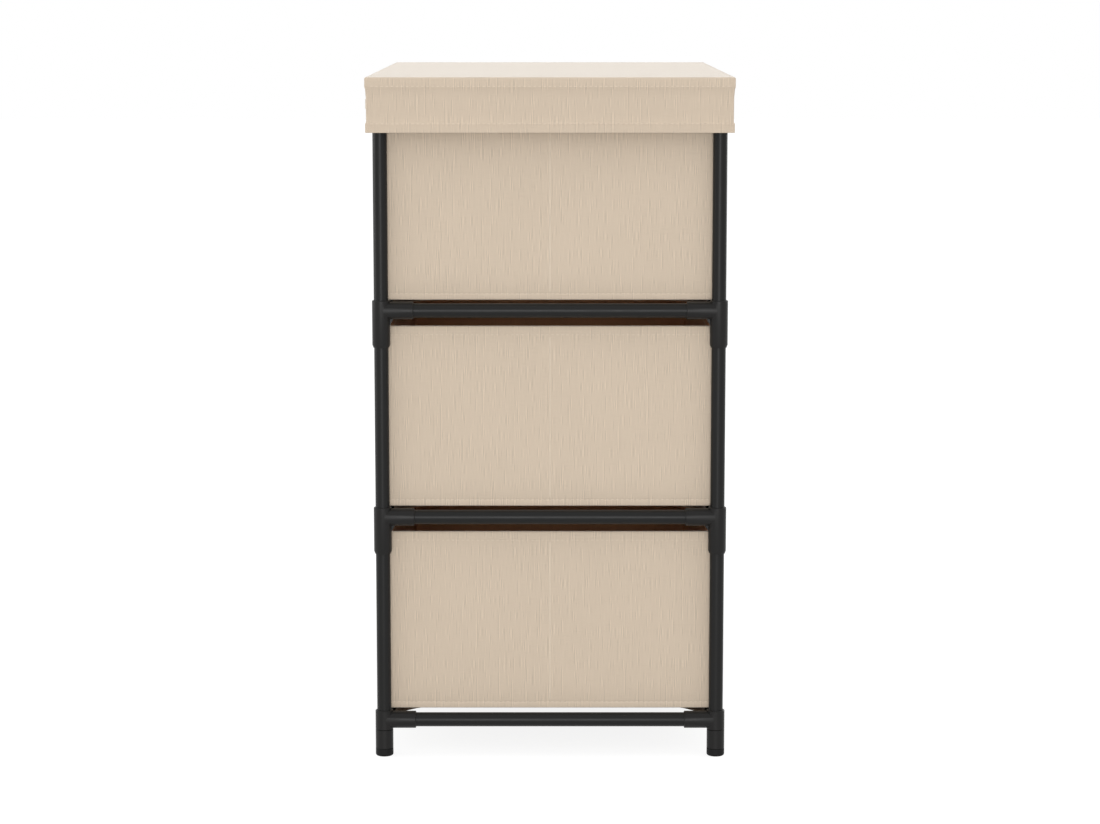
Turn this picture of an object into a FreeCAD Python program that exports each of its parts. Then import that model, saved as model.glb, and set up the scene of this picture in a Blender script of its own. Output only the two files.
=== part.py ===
import FreeCAD, Part
import math
import os

# Fabric drawer dresser: a knock-down frame of steel tubes pushed into moulded corner connectors,
# three collapsible fabric drawers on fabric slings, and a board top under a fitted fabric cover.
# X runs along the width, Y from the front (drawer pulls) to the back, Z up, in millimetres.
# The origin lies on the floor under the middle of the cover.

Vector = FreeCAD.Vector
X_AXIS = Vector(1, 0, 0)
Y_AXIS = Vector(0, 1, 0)
Z_AXIS = Vector(0, 0, 1)

# Overall sizes, over the fabric cover
COVER_WIDTH = 500.0
COVER_DEPTH = 305.0
OVERALL_HEIGHT = 574.0
DRAWER_COUNT = 3

# Steel tubes
TUBE_DIAMETER = 12.0

# Moulded corner connectors
SOCKET_FLATS = 8            # each socket grips its tube on eight flats
SOCKET_PLAY = 0.1           # from a flat to the tube
SOCKET_WALL = 1.4           # plastic outside a flat, on the sleeve and the arms alike
SOCKET_FLOOR = 2.0          # plastic between an arm's socket and the post's bore
ARM_REACH = 27.0            # post axis to the end of an arm
SLEEVE_LIP = 1.0            # sleeve above the arms
COLLAR_LIP = 0.8            # sleeve below the arms, lowest level
SLEEVE_DROP = 31.0          # sleeve below the rail axis, middle levels
CAP_DROP = 24.0             # sleeve below the rail axis, top level
CAP_ROOF = 3.0              # plastic over the post's upper end

# Feet
FOOT_HEIGHT = 22.7          # floor to the lowest connector's collar
FOOT_FLOOR = 9.0            # plastic under the end of the post
FOOT_BEVEL = 1.4

# Sling shelves
SLING_CLOTH = 1.2
SLING_BITE = 30.0           # how far the free side edges are cut in at mid depth
SLING_GAP = 1.2             # sling to the connectors' arms

# Top board and fitted cover
BOARD_THICKNESS = 9.0
COVER_CLOTH = 1.2
SKIRT_LENGTH = 45.5         # top face down to the hem, at the sides and back
VALANCE_PLAY = 6.6          # the front's shorter hem to the rim of the top drawer
SKIRT_PLAY = 1.9            # inside of the skirt to the top connectors
SKIRT_INSET = 1.1           # skirt behind the face of the top band
HEM_HEIGHT = 8.0

# Fabric drawers
DRAWER_SIDE_PLAY = 0.5      # drawer side to connector sleeve
DRAWER_RUN_PLAY = 0.4       # drawer bottom to the connector arms or sling, whichever is higher
DRAWER_HEAD_GAP = 6.4       # drawer rim to the connector arms above
DRAWER_SETBACK = 3.0        # drawer front behind the front posts' axes
DRAWER_CLOTH = 0.8
STIFFENER = 2.2
BASE_BOARD = 3.0
BASE_BOARD_PLAY = 1.0
FOLD_GAP = 3.0              # between the two half boards of a side wall
FOLD_PLAY = 0.3

# Strap pulls
PULL_SPAN = 84.0            # bowed part between the sewn tabs
PULL_RISE = 18.0            # along the strap, from a tab to the full bow
PULL_TAB = 18.0
PULL_WIDTH = 26.0
PULL_CLOTH = 1.6
PULL_BOW = 6.5              # finger room behind the strap
PULL_BELOW_RIM = 58.0       # drawer rim to the strap's middle

# Values that follow from the sizes above
TUBE_R = TUBE_DIAMETER / 2
SOCKET_R = TUBE_R + SOCKET_PLAY
CONNECTOR_R = SOCKET_R + SOCKET_WALL
SOCKET_START = SOCKET_R + SOCKET_FLOOR
SLEEVE_RISE = CONNECTOR_R + SLEEVE_LIP
COLLAR_DROP = CONNECTOR_R + COLLAR_LIP
POST_INSET = SKIRT_INSET + COVER_CLOTH + SKIRT_PLAY + CONNECTOR_R
POST_X = COVER_WIDTH / 2 - POST_INSET
POST_Y = COVER_DEPTH / 2 - POST_INSET
BOARD_BOTTOM = OVERALL_HEIGHT - COVER_CLOTH - BOARD_THICKNESS
TOP_RAIL_HEIGHT = BOARD_BOTTOM - SLEEVE_RISE
FIRST_RAIL_HEIGHT = FOOT_HEIGHT + COLLAR_DROP
LEVEL_PITCH = (TOP_RAIL_HEIGHT - FIRST_RAIL_HEIGHT) / DRAWER_COUNT
RAIL_HEIGHTS = [FIRST_RAIL_HEIGHT + LEVEL_PITCH * level for level in range(DRAWER_COUNT + 1)]
WALL = DRAWER_CLOTH + STIFFENER
DRAWER_X = POST_X - CONNECTOR_R - DRAWER_SIDE_PLAY
DRAWER_Y = POST_Y - DRAWER_SETBACK
DRAWER_BOTTOM = max(CONNECTOR_R, TUBE_R + SLING_CLOTH) + DRAWER_RUN_PLAY
DRAWER_HEIGHT = LEVEL_PITCH - CONNECTOR_R - DRAWER_HEAD_GAP - DRAWER_BOTTOM
VALANCE_LENGTH = OVERALL_HEIGHT - (TOP_RAIL_HEIGHT - CONNECTOR_R - DRAWER_HEAD_GAP + VALANCE_PLAY)

# The corner posts, each a quarter turn on from the last
CORNERS = {"front_left": (-1, -1), "front_right": (1, -1), "back_right": (1, 1), "back_left": (-1, 1)}


def box(x0, x1, y0, y1, z0, z1):
    return Part.makeBox(x1 - x0, y1 - y0, z1 - z0, Vector(x0, y0, z0))


def prism(points, direction):
    """A closed outline pushed along a direction."""
    outline = Part.makePolygon([Vector(*p) for p in points] + [Vector(*points[0])])
    return Part.Face(outline).extrude(direction)


def rod(radius, start, direction, length):
    return Part.makeCylinder(radius, length, start, direction)


def tube(start, direction, length):
    """A length of tube. Its bore is closed at both ends by sockets, so it is drawn solid."""
    return rod(TUBE_R, start, direction, length)


def socket(start, length):
    """An upright socket bore, whose flats face the rails and lie just clear of the tube."""
    corner_r = SOCKET_R / math.cos(math.pi / SOCKET_FLATS)
    corners = []
    for flat in range(SOCKET_FLATS):
        turn = 2 * math.pi * (flat + 0.5) / SOCKET_FLATS
        corners.append((corner_r * math.cos(turn), corner_r * math.sin(turn), start))
    return prism(corners, Z_AXIS * length)


def lay_along(shape, direction):
    """Turn an upright shape so that its Z axis points along a level direction."""
    turned = shape.copy()
    turned.Placement = FreeCAD.Placement(Vector(0, 0, 0), FreeCAD.Rotation(Z_AXIS, direction))
    return turned


def connector(kind):
    """One moulded connector on the Z axis: a post sleeve with arms that point along +X and +Y."""
    drop = {"bottom": COLLAR_DROP, "middle": SLEEVE_DROP, "top": CAP_DROP}[kind]
    roof = CAP_ROOF if kind == "top" else 0
    body = rod(CONNECTOR_R, Vector(0, 0, -drop), Z_AXIS, drop + SLEEVE_RISE)
    body = body.fuse([rod(CONNECTOR_R, Vector(0, 0, 0), way, ARM_REACH) for way in (X_AXIS, Y_AXIS)])
    bores = [lay_along(socket(SOCKET_START, ARM_REACH), way) for way in (X_AXIS, Y_AXIS)]
    bores.append(socket(-drop, drop + SLEEVE_RISE - roof))
    return body.cut(bores).removeSplitter()


def at_corners(shape, height):
    """The same piece at each of the four posts, turned so that its arms point along the rails."""
    copies = []
    for turn, (side_x, side_y) in enumerate(CORNERS.values()):
        piece = shape.copy()
        piece.rotate(Vector(0, 0, 0), Z_AXIS, 90 * turn)
        piece.translate(Vector(side_x * POST_X, side_y * POST_Y, height))
        copies.append(piece)
    return Part.makeCompound(copies)


def connectors(level):
    """The four connectors of one level."""
    kind = "bottom" if level == 0 else "top" if level == DRAWER_COUNT else "middle"
    return at_corners(connector(kind), RAIL_HEIGHTS[level])


def foot_cap():
    """A turned cup under the lowest connector, which takes the leg tube's end and meets the floor."""
    profile = [
        (0, 0, 0),
        (CONNECTOR_R - FOOT_BEVEL, 0, 0),
        (CONNECTOR_R, 0, FOOT_BEVEL),
        (CONNECTOR_R, 0, FOOT_HEIGHT),
        (0, 0, FOOT_HEIGHT),
    ]
    outline = Part.makePolygon([Vector(*p) for p in profile + profile[:1]])
    cup = Part.Face(outline).revolve(Vector(0, 0, 0), Z_AXIS, 360)
    return cup.cut(socket(FOOT_FLOOR, FOOT_HEIGHT))


def post(corner):
    """A corner post, from its foot cap up into the capped connector at the top."""
    top = TOP_RAIL_HEIGHT + SLEEVE_RISE - CAP_ROOF
    return tube(Vector(corner[0] * POST_X, corner[1] * POST_Y, FOOT_FLOOR), Z_AXIS, top - FOOT_FLOOR)


def cross_rail(side_y, level):
    """A front or back rail, seated in the sockets of two connectors."""
    reach = POST_X - SOCKET_START
    return tube(Vector(-reach, side_y * POST_Y, RAIL_HEIGHTS[level]), X_AXIS, 2 * reach)


def side_rail(side_x, level):
    """A left or right rail, seated in the sockets of two connectors."""
    reach = POST_Y - SOCKET_START
    return tube(Vector(side_x * POST_X, -reach, RAIL_HEIGHTS[level]), Y_AXIS, 2 * reach)


def sling(level):
    """A cloth shelf over the front and back rails, narrower at the connectors' arms, whose free
    side edges are cut in as arcs."""
    rail_x = POST_X - ARM_REACH - SLING_GAP
    ear_x = POST_X - CONNECTOR_R - SLING_GAP
    ear_y = POST_Y - CONNECTOR_R - SLING_GAP
    low_face = RAIL_HEIGHTS[level] + TUBE_R
    edges = []
    for side in (1, -1):
        run = [(rail_x, -POST_Y), (rail_x, -ear_y), (ear_x, -ear_y), (ear_x - SLING_BITE, 0),
               (ear_x, ear_y), (rail_x, ear_y), (rail_x, POST_Y), (-rail_x, POST_Y)]
        p = [Vector(side * x, side * y, low_face) for x, y in run]
        edges += [Part.makeLine(p[0], p[1]), Part.makeLine(p[1], p[2]), Part.Arc(*p[2:5]).toShape(),
                  Part.makeLine(p[4], p[5]), Part.makeLine(p[5], p[6]), Part.makeLine(p[6], p[7])]
    return Part.Face(Part.Wire(edges)).extrude(Z_AXIS * SLING_CLOTH)


def top_board():
    half_x = COVER_WIDTH / 2 - COVER_CLOTH
    half_y = COVER_DEPTH / 2 - COVER_CLOTH
    return box(-half_x, half_x, -half_y, half_y, BOARD_BOTTOM, BOARD_BOTTOM + BOARD_THICKNESS)


def cover_top():
    """The top panel of the cover with its band round the board's edge."""
    half_x = COVER_WIDTH / 2
    half_y = COVER_DEPTH / 2
    return box(-half_x, half_x, -half_y, half_y, BOARD_BOTTOM, OVERALL_HEIGHT).cut(top_board())


def skirt_strip(half_length, half_reach, direction, length):
    """One hanging strip of the cover, mitred at both ends; direction is its outward side."""
    bottom = OVERALL_HEIGHT - length
    inner = half_reach - SKIRT_INSET - COVER_CLOTH
    section = [
        (-half_length, inner, bottom),
        (-half_length, half_reach, bottom),
        (-half_length, half_reach, bottom + HEM_HEIGHT),
        (-half_length, half_reach - SKIRT_INSET, bottom + HEM_HEIGHT),
        (-half_length, half_reach - SKIRT_INSET, BOARD_BOTTOM),
        (-half_length, inner, BOARD_BOTTOM),
    ]
    strip = prism(section, X_AXIS * 2 * half_length)
    depth = half_reach - inner
    mitre = [
        (-half_length + depth, inner, bottom),
        (half_length - depth, inner, bottom),
        (half_length, half_reach, bottom),
        (-half_length, half_reach, bottom),
    ]
    strip = strip.common(prism(mitre, Z_AXIS * length))
    strip.rotate(Vector(0, 0, 0), Z_AXIS, direction)
    return strip


def cover_skirt():
    """The sewn skirt: two sides and a back of full length, and a short valance over the drawers."""
    half_x = COVER_WIDTH / 2
    half_y = COVER_DEPTH / 2
    return Part.makeCompound([
        skirt_strip(half_x, half_y, 0, SKIRT_LENGTH),
        skirt_strip(half_y, half_x, 90, SKIRT_LENGTH),
        skirt_strip(half_x, half_y, 180, VALANCE_LENGTH),
        skirt_strip(half_y, half_x, 270, SKIRT_LENGTH),
    ])


def drawer_shell(floor):
    """The sewn drawer: a fabric box whose top edge is bound over the stiffener boards."""
    rim = floor + DRAWER_HEIGHT
    outer = box(-DRAWER_X, DRAWER_X, -DRAWER_Y, DRAWER_Y, floor, rim)
    chamber_x = DRAWER_X - DRAWER_CLOTH
    chamber_y = DRAWER_Y - DRAWER_CLOTH
    chamber = box(-chamber_x, chamber_x, -chamber_y, chamber_y, floor + DRAWER_CLOTH, rim - DRAWER_CLOTH)
    mouth = box(-DRAWER_X + WALL, DRAWER_X - WALL, -DRAWER_Y + WALL, DRAWER_Y - WALL,
                floor + DRAWER_CLOTH, rim + DRAWER_CLOTH)
    return outer.cut([chamber, mouth])


def end_board(floor, side_y):
    """The one-piece stiffener of a drawer's front or back wall."""
    outer_face = side_y * (DRAWER_Y - DRAWER_CLOTH)
    inner_face = side_y * (DRAWER_Y - WALL)
    half_x = DRAWER_X - DRAWER_CLOTH
    return box(-half_x, half_x, min(outer_face, inner_face), max(outer_face, inner_face),
               floor + DRAWER_CLOTH, floor + DRAWER_HEIGHT - DRAWER_CLOTH)


def side_boards(floor):
    """Both side walls' stiffeners, each in two halves so that the drawer folds flat when empty."""
    halves = []
    for side_x in (-1, 1):
        faces = sorted([side_x * (DRAWER_X - DRAWER_CLOTH), side_x * (DRAWER_X - WALL)])
        for side_y in (-1, 1):
            ends = sorted([side_y * FOLD_GAP / 2, side_y * (DRAWER_Y - WALL - FOLD_PLAY)])
            halves.append(box(faces[0], faces[1], ends[0], ends[1],
                              floor + DRAWER_CLOTH, floor + DRAWER_HEIGHT - DRAWER_CLOTH))
    return Part.makeCompound(halves)


def base_board(floor):
    """The loose board that holds the drawer open and square."""
    half_x = DRAWER_X - WALL - BASE_BOARD_PLAY
    half_y = DRAWER_Y - WALL - BASE_BOARD_PLAY
    return box(-half_x, half_x, -half_y, half_y, floor + DRAWER_CLOTH, floor + DRAWER_CLOTH + BASE_BOARD)


def strap_pull(floor):
    """A webbing strap sewn flat at both ends, bowed out in the middle for the fingers."""
    low = floor + DRAWER_HEIGHT - PULL_BELOW_RIM - PULL_WIDTH / 2
    half = PULL_SPAN / 2
    crest = half - PULL_RISE
    run = [(-half - PULL_TAB, 0), (-half, 0), (-crest, PULL_BOW), (crest, PULL_BOW), (half, 0),
           (half + PULL_TAB, 0)]
    back = [(x, -DRAWER_Y - bow, low) for x, bow in run]
    face = [(x, -DRAWER_Y - bow - PULL_CLOTH, low) for x, bow in reversed(run)]
    return prism(back + face, Z_AXIS * PULL_WIDTH)


def frame_nodes():
    nodes = {}
    for name, corner in CORNERS.items():
        nodes[f"post_{name}"] = post(corner)
    for level in range(DRAWER_COUNT + 1):
        nodes[f"connectors_level_{level + 1}"] = connectors(level)
        for name, side in (("front", -1), ("back", 1)):
            nodes[f"rail_{name}_{level + 1}"] = cross_rail(side, level)
        for name, side in (("left", -1), ("right", 1)):
            nodes[f"rail_{name}_{level + 1}"] = side_rail(side, level)
    for level in range(DRAWER_COUNT):
        nodes[f"sling_shelf_{level + 1}"] = sling(level)
    nodes["foot_caps"] = at_corners(foot_cap(), 0)
    nodes["top_board"] = top_board()
    nodes["cover_top"] = cover_top()
    nodes["cover_skirt"] = cover_skirt()
    return nodes


def drawer_nodes(number):
    """One drawer; drawer 1 is the lowest, like the level that carries it."""
    floor = RAIL_HEIGHTS[number - 1] + DRAWER_BOTTOM
    return {
        f"drawer_{number}_shell": drawer_shell(floor),
        f"drawer_{number}_front_board": end_board(floor, -1),
        f"drawer_{number}_back_board": end_board(floor, 1),
        f"drawer_{number}_side_boards": side_boards(floor),
        f"drawer_{number}_base_board": base_board(floor),
        f"drawer_{number}_pull": strap_pull(floor),
    }


os.makedirs("parts", exist_ok=True)
all_nodes = frame_nodes()
for drawer_number in range(1, DRAWER_COUNT + 1):
    all_nodes.update(drawer_nodes(drawer_number))
for node_name, node_shape in all_nodes.items():
    node_shape.exportStep(f"parts/{node_name}.step")
print(len(all_nodes), "nodes written")
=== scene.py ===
# %% [markdown]
# # A fabric drawer dresser
# A knock-down frame of black tubes and moulded corner connectors carries three fabric drawers on
# cloth slings, under a board top with a fitted cover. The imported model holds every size, so this
# script adds only the looks: cloth with its seams, turned and moulded parts, and the finishes.

# %% Load the fixed frame
import math

import bmesh
import bpy
from bmesh.types import BMEdge, BMVert
from mathutils import Matrix, Vector, noise


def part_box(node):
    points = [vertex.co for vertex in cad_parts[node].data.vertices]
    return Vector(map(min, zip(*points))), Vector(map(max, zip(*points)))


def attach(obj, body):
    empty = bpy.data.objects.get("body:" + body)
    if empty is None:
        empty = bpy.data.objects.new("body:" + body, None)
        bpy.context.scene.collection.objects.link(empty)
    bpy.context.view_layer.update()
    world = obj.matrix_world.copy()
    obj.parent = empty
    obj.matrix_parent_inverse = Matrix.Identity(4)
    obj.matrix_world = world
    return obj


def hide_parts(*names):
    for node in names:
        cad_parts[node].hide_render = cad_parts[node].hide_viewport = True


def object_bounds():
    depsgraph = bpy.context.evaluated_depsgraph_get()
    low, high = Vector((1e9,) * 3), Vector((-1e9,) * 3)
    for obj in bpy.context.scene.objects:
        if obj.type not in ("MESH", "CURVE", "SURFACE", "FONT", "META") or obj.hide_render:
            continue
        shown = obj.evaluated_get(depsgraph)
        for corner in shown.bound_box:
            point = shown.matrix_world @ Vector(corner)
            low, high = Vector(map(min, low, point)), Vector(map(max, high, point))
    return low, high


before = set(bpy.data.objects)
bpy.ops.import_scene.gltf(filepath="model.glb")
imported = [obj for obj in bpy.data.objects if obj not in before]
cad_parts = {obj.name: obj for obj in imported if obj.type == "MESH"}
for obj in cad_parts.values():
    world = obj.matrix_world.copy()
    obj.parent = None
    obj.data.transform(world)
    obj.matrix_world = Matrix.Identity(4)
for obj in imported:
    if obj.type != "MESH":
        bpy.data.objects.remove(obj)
cad_low, cad_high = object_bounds()
scene = bpy.context.scene
MM = 0.001
X_AXIS, Y_AXIS, Z_AXIS = AXES = [Vector(axis) for axis in ((1, 0, 0), (0, 1, 0), (0, 0, 1))]
DRAWERS = (1, 2, 3)
LEVELS = (1, 2, 3, 4)
print("model box in mm:", [round(side / MM, 1) for side in cad_high - cad_low])

# %% [markdown]
# ## The camera
# The dresser is looked at from its narrow side, square-on, from a little above its top. A long
# lens from well back keeps the posts nearly parallel, and a small downward pitch centres the piece
# without shifting the lens.

# %% Camera
VIEW_DISTANCE = 2.4
EYE_HEIGHT = 0.6451
PITCH = math.radians(8.259)
SENSOR_WIDTH = 36
FOCAL_LENGTH = 95.24


def placed(name, data):
    """An object with the given mesh, lamp or camera, linked into the scene."""
    made = bpy.data.objects.new(name, data)
    scene.collection.objects.link(made)
    return made


camera = placed("camera", bpy.data.cameras.new("camera"))
camera.data.sensor_width = SENSOR_WIDTH
camera.data.lens = FOCAL_LENGTH
camera.location = (cad_high.x + VIEW_DISTANCE, 0, EYE_HEIGHT)
camera.rotation_euler = (math.pi / 2 - PITCH, 0, math.pi / 2)
scene.camera = camera
print("camera at", [round(place, 3) for place in camera.location])

# %% [markdown]
# ## Shared steps for every piece
# Each piece is modelled as a bmesh in its real place. One helper gives every face cloth
# coordinates in metres, so that threads keep their real pitch on every side, smooths the round
# parts, and hangs the piece on the body that carries it.

# %% Helpers: cloth coordinates and finished pieces
SAME_PLACE = 1e-6


def lay_weave(bm):
    """Gives each face cloth coordinates in metres, across and along the hanging threads."""
    weave = bm.loops.layers.uv.new("weave")
    for face in bm.faces:
        side = max(range(3), key=lambda axis: abs(face.normal[axis]))
        across, along = ((1, 2), (0, 2), (0, 1))[side]
        for loop in face.loops:
            loop[weave].uv = (loop.vert.co[across], loop.vert.co[along])


def mesh_of(name, bm):
    """Turns a bmesh into a mesh and lets the bmesh go."""
    mesh = bpy.data.meshes.new(name)
    bm.to_mesh(mesh)
    bm.free()
    return mesh


def make_piece(name, bm, body, slot, *materials, sharp_from=40):
    """Turns a bmesh into a smoothed piece with its finishes, riding on a body."""
    lay_weave(bm)
    mesh = mesh_of(name, bm)
    mesh.shade_smooth()
    mesh.set_sharp_from_angle(angle=math.radians(sharp_from))
    for material in materials:
        mesh.materials.append(material)
    piece = placed(name, mesh)
    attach(piece, body)
    return piece


def close_up(bm):
    """Merges doubled points and turns every face of a closed solid outwards."""
    bmesh.ops.remove_doubles(bm, verts=bm.verts, dist=SAME_PLACE)
    bmesh.ops.recalc_face_normals(bm, faces=bm.faces)


print("nodes in the model:", len(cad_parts))

# %% [markdown]
# ## The linen weave
# The covers are a linen-look cloth: a plain weave whose yarns have slubs, which are scattered
# thicker stretches. They show as fine streaks, clear along the hanging yarns and faint along the
# crossing ones. A scan of cloth could give this, but a node group works at any size and needs no
# picture. It puts out a tone for the colour, with painted light and shade beside each slub, and a
# height for the bump.

# %% Node helpers
def group_of(name, inputs, outputs):
    """A node group; a socket named Cloth takes coordinates, any other a number."""
    tree = bpy.data.node_groups.new(name, "ShaderNodeTree")
    for way, sockets in (("INPUT", inputs), ("OUTPUT", outputs)):
        for socket in sockets:
            kind = "NodeSocketVector" if socket == "Cloth" else "NodeSocketFloat"
            tree.interface.new_socket(socket, in_out=way, socket_type=kind)
    return tree, tree.nodes.new("NodeGroupInput"), tree.nodes.new("NodeGroupOutput")


def math_node(tree, operation, first, second=None, third=None):
    """A math node fed by sockets or plain numbers; gives its output."""
    node = tree.nodes.new("ShaderNodeMath")
    node.operation = operation
    for place, value in enumerate((first, second, third)):
        if value is None:
            continue
        if isinstance(value, (int, float)):
            node.inputs[place].default_value = value
        else:
            tree.links.new(value, node.inputs[place])
    return node.outputs[0]


def about_zero(tree, share):
    """Moves noise from 0 to 1 to run from -0.5 to 0.5."""
    return math_node(tree, "SUBTRACT", share, 0.5)


print("node helpers made")

# %% [markdown]
# ### Yarns and slubs
# Noise that changes along each yarn gives it thick and thin stretches. Cubed, it leaves most of
# the yarn plain, with a slub only where the noise is far from its middle.

# %% Yarns and slubs
YARN_PITCH = 1.85 * MM
HANGING_SLUB = 14 * MM
CROSSING_SLUB = 9 * MM
YARN_STEP = 7.31
SLUB_MAP = {"From Min": 0.24, "From Max": 0.76, "To Min": -1.15, "To Max": 1.15}


def yarn_noise(tree, across, along, pitch, length):
    """Noise from 0 to 1 that changes along each yarn but is even across it."""
    yarn = math_node(tree, "FLOOR", math_node(tree, "DIVIDE", across, pitch))
    place = tree.nodes.new("ShaderNodeCombineXYZ")
    tree.links.new(math_node(tree, "MULTIPLY", yarn, YARN_STEP), place.inputs[0])
    tree.links.new(math_node(tree, "DIVIDE", along, length), place.inputs[1])
    cloud = tree.nodes.new("ShaderNodeTexNoise")
    cloud.noise_dimensions = "2D"
    cloud.inputs["Scale"].default_value = 1
    cloud.inputs["Detail"].default_value = 0
    tree.links.new(place.outputs[0], cloud.inputs["Vector"])
    return cloud.outputs["Fac"]


def ripple_across(tree, place, pitch):
    """A sine wave across the yarns, one wave to each pitch."""
    turns = math_node(tree, "MULTIPLY", math_node(tree, "DIVIDE", place, pitch), 2 * math.pi)
    return math_node(tree, "SINE", turns)


def slubs_in(tree, across, along, length):
    """Scattered thick stretches: near 0 on most of a yarn, up to 1.5 either way on them."""
    spread = tree.nodes.new("ShaderNodeMapRange")
    for socket, value in SLUB_MAP.items():
        spread.inputs[socket].default_value = value
    thickness = yarn_noise(tree, across, along, YARN_PITCH, length)
    tree.links.new(thickness, spread.inputs["Value"])
    return math_node(tree, "POWER", spread.outputs["Result"], 3)


print("yarns", YARN_PITCH / MM, "mm apart, slubs", HANGING_SLUB / MM, "mm long")

# %% [markdown]
# ### The weave as one group
# A slub stands out of the cloth, so one side of it gets painted light and the other painted
# shade. The threads going over and under, a finer run of yarns and a slow drift of the dye are
# laid over that.

# %% The weave group
CROSSING_SHARE = 0.18
FINE_YARN = (0.87 * MM, 16 * MM)
FINE_SHARE = 0.5
DRIFT_SCALE = 18
DRIFT_SHARE = 0.05
THREAD_RELIEF = 0.5


def painted_slub_shading(tree, slubs, place):
    """Slubs as painted light on one side of a yarn and painted shade on the other."""
    return math_node(tree, "MULTIPLY", slubs, ripple_across(tree, place, YARN_PITCH))


def linen_group():
    tree, given, result = group_of("linen_weave", ("Cloth", "Thread", "Slub", "Weave"),
                                   ("Tone", "Height"))
    split = tree.nodes.new("ShaderNodeSeparateXYZ")
    tree.links.new(given.outputs["Cloth"], split.inputs[0])
    across, along = split.outputs[0], split.outputs[1]
    pair = math_node(tree, "MULTIPLY", given.outputs["Thread"], 2)
    over_under = math_node(tree, "MULTIPLY", ripple_across(tree, across, pair),
                           ripple_across(tree, along, pair))
    hanging = slubs_in(tree, across, along, HANGING_SLUB)
    crossing = slubs_in(tree, along, across, CROSSING_SLUB)
    # lit holds the painted light and shade of the slubs, across both runs of yarn
    lit = math_node(tree, "MULTIPLY_ADD", painted_slub_shading(tree, crossing, along), CROSSING_SHARE,
                    painted_slub_shading(tree, hanging, across))
    fine = about_zero(tree, yarn_noise(tree, across, along, *FINE_YARN))
    streak = math_node(tree, "MULTIPLY_ADD", fine, FINE_SHARE, lit)
    patches = tree.nodes.new("ShaderNodeTexNoise")
    patches.inputs["Scale"].default_value = DRIFT_SCALE
    tree.links.new(given.outputs["Cloth"], patches.inputs["Vector"])
    drift = math_node(tree, "MULTIPLY", about_zero(tree, patches.outputs["Fac"]), DRIFT_SHARE)
    tone = math_node(tree, "MULTIPLY_ADD", streak, given.outputs["Slub"], 1.0)
    tone = math_node(tree, "MULTIPLY_ADD", over_under, given.outputs["Weave"], tone)
    tree.links.new(math_node(tree, "ADD", tone, drift), result.inputs["Tone"])
    thick = math_node(tree, "ADD", hanging, crossing)
    height = math_node(tree, "MULTIPLY_ADD", over_under, THREAD_RELIEF, thick)
    tree.links.new(height, result.inputs["Height"])
    return tree


LINEN = linen_group()
print("linen weave group:", len(LINEN.nodes), "nodes")

# %% [markdown]
# ## The grain of moulded plastic and powder coat
# Both black finishes have a fine skin that breaks up the highlight: the mould's spark-eroded
# texture on the connectors, and the faint orange peel of powder coat on the tubes. One group makes
# both from noise on the piece's own coordinates.

# %% The grain group
FINE_DETAIL = 2
BROAD_SCALE = 60
BROAD_DETAIL = 3


def grain_group():
    tree, given, result = group_of("fine_grain", ("Grain", "Depth"), ("Shade", "Height"))
    place = tree.nodes.new("ShaderNodeTexCoord")
    fine = tree.nodes.new("ShaderNodeTexNoise")
    broad = tree.nodes.new("ShaderNodeTexNoise")
    for cloud, detail in ((fine, FINE_DETAIL), (broad, BROAD_DETAIL)):
        tree.links.new(place.outputs["Object"], cloud.inputs["Vector"])
        cloud.inputs["Detail"].default_value = detail
    tree.links.new(math_node(tree, "DIVIDE", 1.0, given.outputs["Grain"]), fine.inputs["Scale"])
    broad.inputs["Scale"].default_value = BROAD_SCALE
    shade = math_node(tree, "MULTIPLY", about_zero(tree, broad.outputs["Fac"]),
                      given.outputs["Depth"])
    tree.links.new(shade, result.inputs["Shade"])
    tree.links.new(fine.outputs["Fac"], result.inputs["Height"])
    return tree


GRAIN = grain_group()
print("grain group:", len(GRAIN.nodes), "nodes")

# %% [markdown]
# ## Finishes
# Every finish is one shader with even values on its sockets, a dye that a group makes lighter or
# darker, on the cloth partly with painted light and shade, and a bump from the same group. Loose
# fibres catch light along the edges of cloth, so light cloth has a warm sheen.

# %% Helpers: a shader, its group, its dye and its bump
SHEEN_ROUGHNESS = 0.45
SHEEN_TINT = (1.0, 0.975, 0.93, 1)


def shader_of(name, roughness, specular=0.5, sheen=0.0):
    """A new material, its node tree and its shader with even values."""
    material = bpy.data.materials.new(name)
    material.use_nodes = True
    shader = material.node_tree.nodes["Principled BSDF"]
    shader.inputs["Roughness"].default_value = roughness
    shader.inputs["Specular IOR Level"].default_value = specular
    shader.inputs["Sheen Weight"].default_value = sheen
    shader.inputs["Sheen Roughness"].default_value = SHEEN_ROUGHNESS
    shader.inputs["Sheen Tint"].default_value = SHEEN_TINT
    return material, material.node_tree, shader


def with_group(tree, group, **values):
    """A node that runs a group with the given values on its sockets."""
    node = tree.nodes.new("ShaderNodeGroup")
    node.node_tree = group
    for socket, value in values.items():
        node.inputs[socket].default_value = value
    return node


def dye(tree, shader, colour, tone):
    """Colours the shader, lighter where the tone is above 1 and darker below."""
    scaled = tree.nodes.new("ShaderNodeVectorMath")
    scaled.operation = "SCALE"
    scaled.inputs[0].default_value = colour
    tree.links.new(tone, scaled.inputs["Scale"])
    tree.links.new(scaled.outputs[0], shader.inputs["Base Color"])


def add_bump(tree, shader, height, strength, distance):
    bump = tree.nodes.new("ShaderNodeBump")
    bump.inputs["Strength"].default_value = strength
    bump.inputs["Distance"].default_value = distance
    tree.links.new(height, bump.inputs["Height"])
    tree.links.new(bump.outputs["Normal"], shader.inputs["Normal"])


print("sheen tint:", SHEEN_TINT[:3])

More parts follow.
